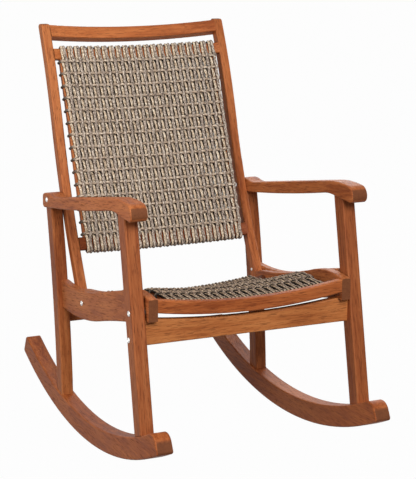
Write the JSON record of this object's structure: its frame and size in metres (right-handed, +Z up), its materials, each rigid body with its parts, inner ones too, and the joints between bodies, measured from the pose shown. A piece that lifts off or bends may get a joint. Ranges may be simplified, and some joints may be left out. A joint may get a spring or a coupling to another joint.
{
  "type": "woven rocking chair",
  "caption": "Wooden rocking chair with a tall bowed back and a dished seat of woven cord, curved arms and long rockers that rock on the floor.",
  "frame": {"origin": "on the floor, midway between the two places where the rockers touch it at rest", "axes": "+X to the right of the chair as seen from the front, across it, +Y to the rear (the chair faces -Y), +Z up"},
  "size_m": [0.6576, 0.999, 1.078],
  "materials": {
    "oiled_wood": "satin oiled hardwood",
    "woven_cord": "twisted, flecked weather-resistant cord",
    "bolt_steel": "bright zinc",
    "dowel_wood": "plain unfinished"
  },
  "bodies": {
    "root": {"rocker_left": "oiled_wood", "front_leg_left": "oiled_wood", "rear_leg_left": "oiled_wood", "arm_left": "oiled_wood", "side_apron_left": "oiled_wood", "seat_side_rail_left": "oiled_wood", "seat_side_strip_left": "oiled_wood", "back_stile_left": "oiled_wood", "back_side_strip_left": "oiled_wood", "rocker_right": "oiled_wood", "front_leg_right": "oiled_wood", "rear_leg_right": "oiled_wood", "arm_right": "oiled_wood", "side_apron_right": "oiled_wood", "seat_side_rail_right": "oiled_wood", "seat_side_strip_right": "oiled_wood", "back_stile_right": "oiled_wood", "back_side_strip_right": "oiled_wood", "front_apron": "oiled_wood", "rear_apron": "oiled_wood", "seat_front_rail": "oiled_wood", "seat_weave_rail_front": "oiled_wood", "seat_weave_rail_rear": "oiled_wood", "back_lower_rail": "oiled_wood", "back_upper_rail": "oiled_wood", "back_top_rail": "oiled_wood", "seat_weave": "woven_cord", "back_weave": "woven_cord", "arm_bolts": "bolt_steel", "side_apron_bolts": "bolt_steel", "seat_bolts": "bolt_steel", "front_apron_bolts": "bolt_steel", "cap_nuts": "bolt_steel", "seat_spacers": "bolt_steel", "barrel_nuts": "bolt_steel", "stile_screws": "bolt_steel", "foot_dowels": "dowel_wood", "arm_dowels": "dowel_wood", "apron_dowels": "dowel_wood", "seat_dowels": "dowel_wood", "back_dowels": "dowel_wood"}
  },
  "joints": []
}
